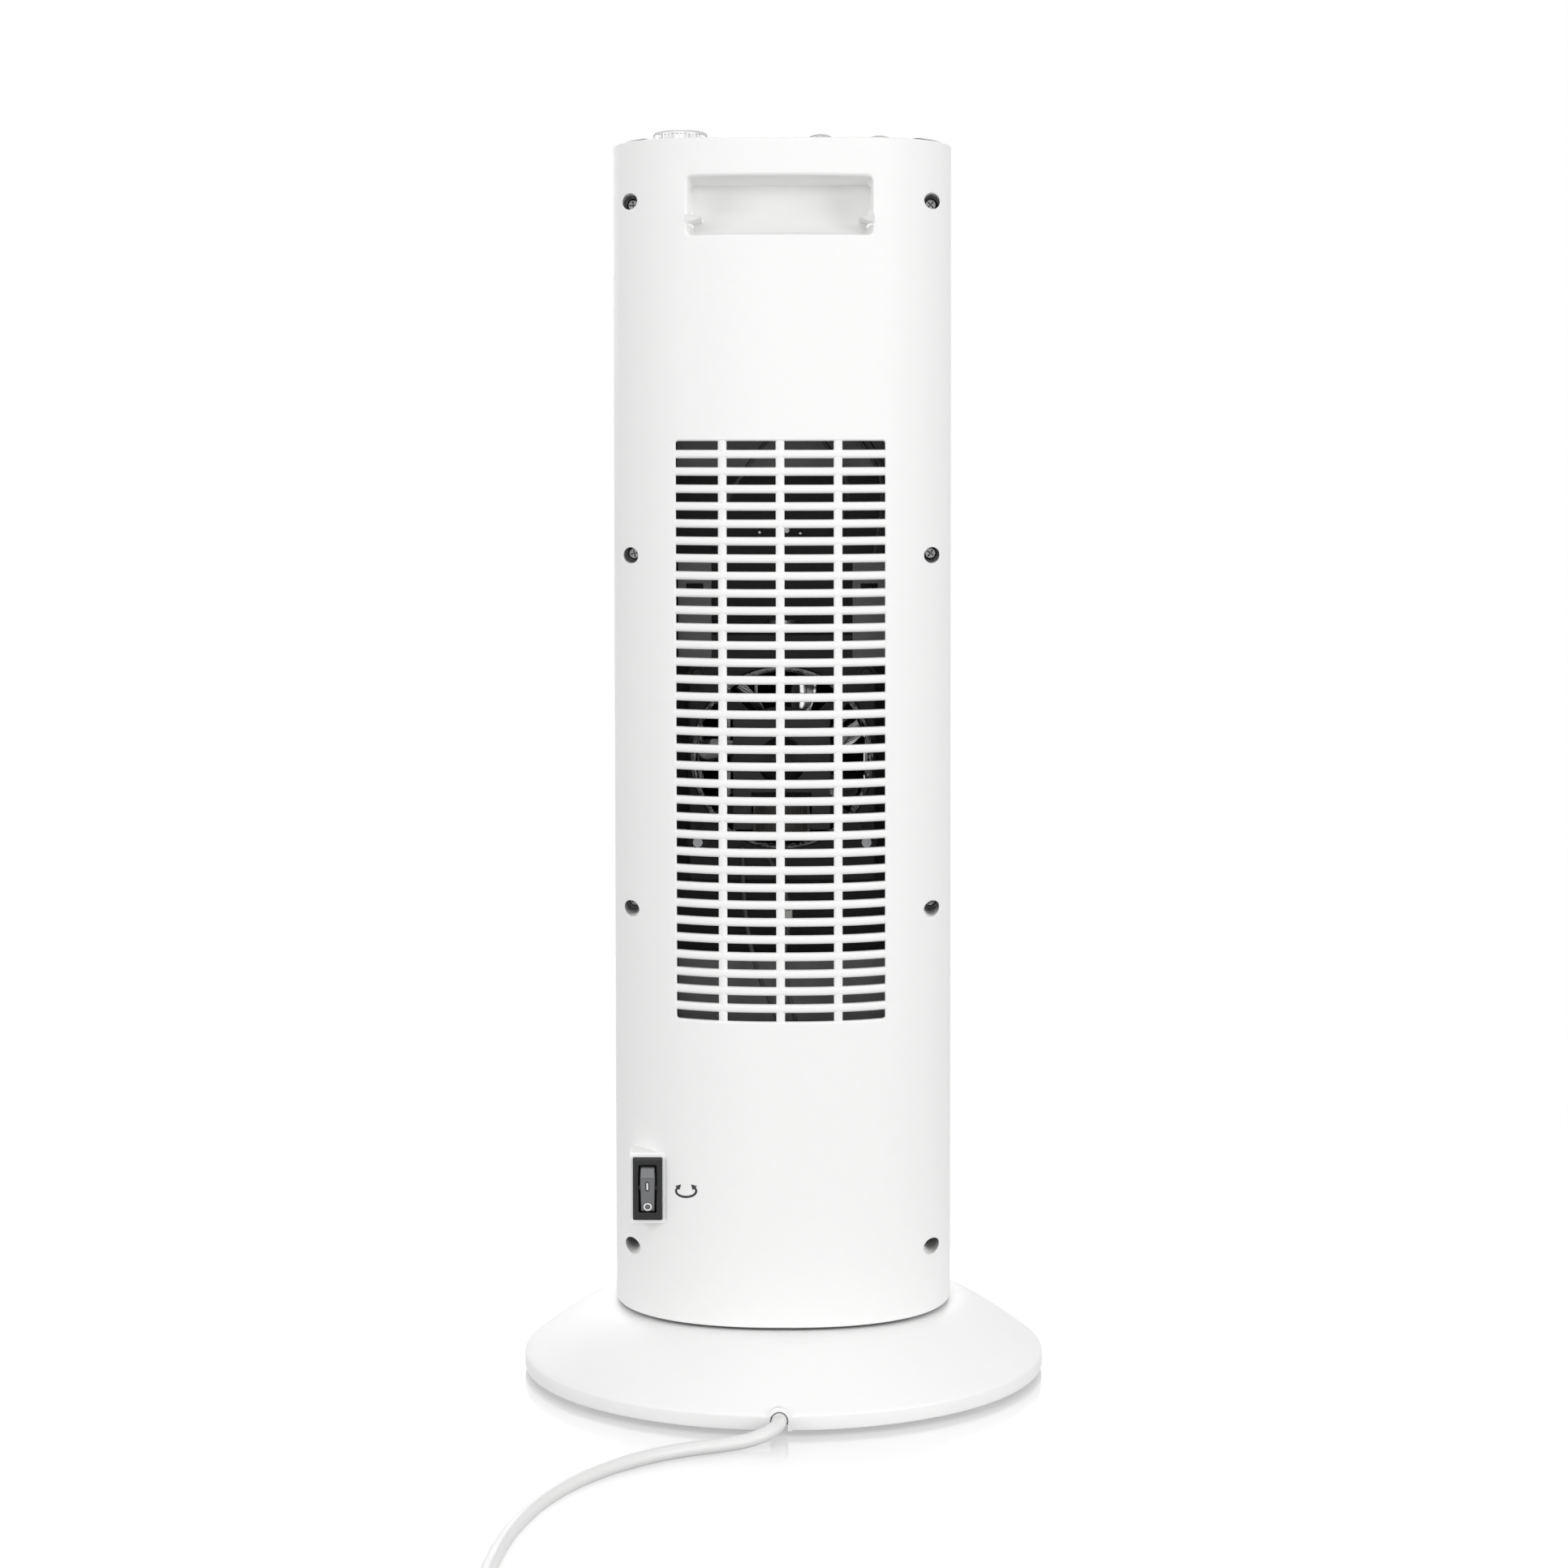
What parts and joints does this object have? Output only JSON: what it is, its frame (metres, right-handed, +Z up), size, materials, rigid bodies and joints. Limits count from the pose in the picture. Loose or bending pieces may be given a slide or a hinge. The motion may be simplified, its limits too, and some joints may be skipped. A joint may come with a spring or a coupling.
{
  "type": "tower heater",
  "caption": "Oscillating ceramic tower heater with a slotted rear intake, handle recess, rotary thermostat, push buttons, rocker switch and a round base.",
  "frame": {"origin": "centre of the base on the floor", "axes": "+Z up along the tower, -Y towards the outlet at the front, +Y towards the intake grille and the cord"},
  "size_m": [0.264, 0.6244, 0.6291],
  "materials": {
    "shell_white": "fine satin moulded ABS",
    "base_white": "fine satin moulded ABS",
    "dark_plastic": "matt flame-retardant plastic",
    "panel_black": "smooth dark panel",
    "silver": "satin metallised plastic",
    "rocker_grey": "moulded, light grain",
    "steel": "zinc plated",
    "black_steel": "blackened steel",
    "winding_tape": "winding wrapped in dark tape",
    "plug_brass": "nickel plated brass pins",
    "heater_aluminium": "raw finned aluminium",
    "white_nylon": "natural nylon",
    "foot_rubber": "light matt rubber",
    "cord_white": "smooth white PVC",
    "wire_dark": "silicone insulation"
  },
  "bodies": {
    "base": {"base_cover": "base_white", "base_plate": "dark_plastic", "foot_1": "foot_rubber", "foot_2": "foot_rubber", "foot_3": "foot_rubber", "foot_4": "foot_rubber", "base_screw_1": "black_steel", "base_screw_2": "black_steel", "base_screw_3": "black_steel", "slide_ring": "white_nylon", "oscillation_motor": "steel", "tip_switch": "dark_plastic", "cord_relief": "cord_white", "inner_lead": "cord_white", "mains_cord": "cord_white", "cord_coil": "cord_white", "plug_body": "cord_white", "plug_pin_1": "plug_brass", "plug_pin_2": "plug_brass"},
    "tower": {"rear_shell": "shell_white", "front_shell": "shell_white", "outlet_grille": "dark_plastic", "top_panel": "panel_black", "bottom_plate": "dark_plastic", "sector_gear": "white_nylon", "terminal_block": "white_nylon", "shell_screw_1": "black_steel", "shell_screw_2": "black_steel", "shell_screw_3": "black_steel", "shell_screw_4": "black_steel", "shell_screw_5": "black_steel", "shell_screw_6": "black_steel", "shell_screw_7": "black_steel", "shell_screw_8": "black_steel", "thermostat_body": "dark_plastic", "button_switch_1": "dark_plastic", "button_switch_2": "dark_plastic", "rocker_housing": "dark_plastic", "supply_wire": "wire_dark", "fan_duct": "dark_plastic", "motor_bracket": "black_steel", "duct_screw_1": "black_steel", "duct_screw_2": "black_steel", "duct_screw_3": "black_steel", "duct_screw_4": "black_steel", "motor_core": "black_steel", "motor_winding": "winding_tape", "motor_bearing": "steel", "heater_core": "heater_aluminium", "thermal_cutout": "steel"},
    "fan_rotor": {"impeller": "dark_plastic", "motor_shaft": "steel"},
    "knob": {"thermostat_knob": "silver", "thermostat_shaft": "steel"},
    "button_1": {"button_cap_1": "silver"},
    "button_2": {"button_cap_2": "silver"},
    "rocker": {"rocker": "rocker_grey"},
    "drive_pinion": {"oscillation_pinion": "white_nylon"},
    "tip_plunger": {"tip_plunger": "white_nylon"}
  },
  "joints": [
    {"name": "tower_oscillation", "type": "hinge", "parent": "base", "child": "tower", "pos_m": [0, 0, 0.0379], "axis": [0, 0, 1], "range_deg": [-35, 35]},
    {"name": "pinion_spin", "type": "hinge", "parent": "base", "child": "drive_pinion", "pos_m": [0, -0.04688, 0.03], "axis": [0, 0, 1], "range_deg": [-140, 140]},
    {"name": "fan_spin", "type": "hinge", "parent": "tower", "child": "fan_rotor", "pos_m": [0, 0.0135, 0.313], "axis": [0, 1, 0], "continuous": true},
    {"name": "thermostat_turn", "type": "hinge", "parent": "tower", "child": "knob", "pos_m": [0.05175, -0.008, 0.62], "axis": [0, 0, -1], "range_deg": [0, 270]},
    {"name": "button_1_press", "type": "slide", "parent": "tower", "child": "button_1", "axis": [0, 0, -1], "range_m": [0, 0.003], "stiffness_N_per_m": 500, "springref_m": -0.002},
    {"name": "button_2_press", "type": "slide", "parent": "tower", "child": "button_2", "axis": [0, 0, -1], "range_m": [0, 0.003], "stiffness_N_per_m": 500, "springref_m": -0.002},
    {"name": "rocker_tilt", "type": "hinge", "parent": "tower", "child": "rocker", "pos_m": [0.0659, 0.0606, 0.1036], "axis": [1, 0, 0], "range_deg": [0, 24]},
    {"name": "tip_plunger_drop", "type": "slide", "parent": "base", "child": "tip_plunger", "axis": [0, 0, -1], "range_m": [0, 0.004], "stiffness_N_per_m": 80, "springref_m": 0.006}
  ],
  "couplings": [
    {"joint": "pinion_spin", "follows": "tower_oscillation", "ratio": -4}
  ]
}
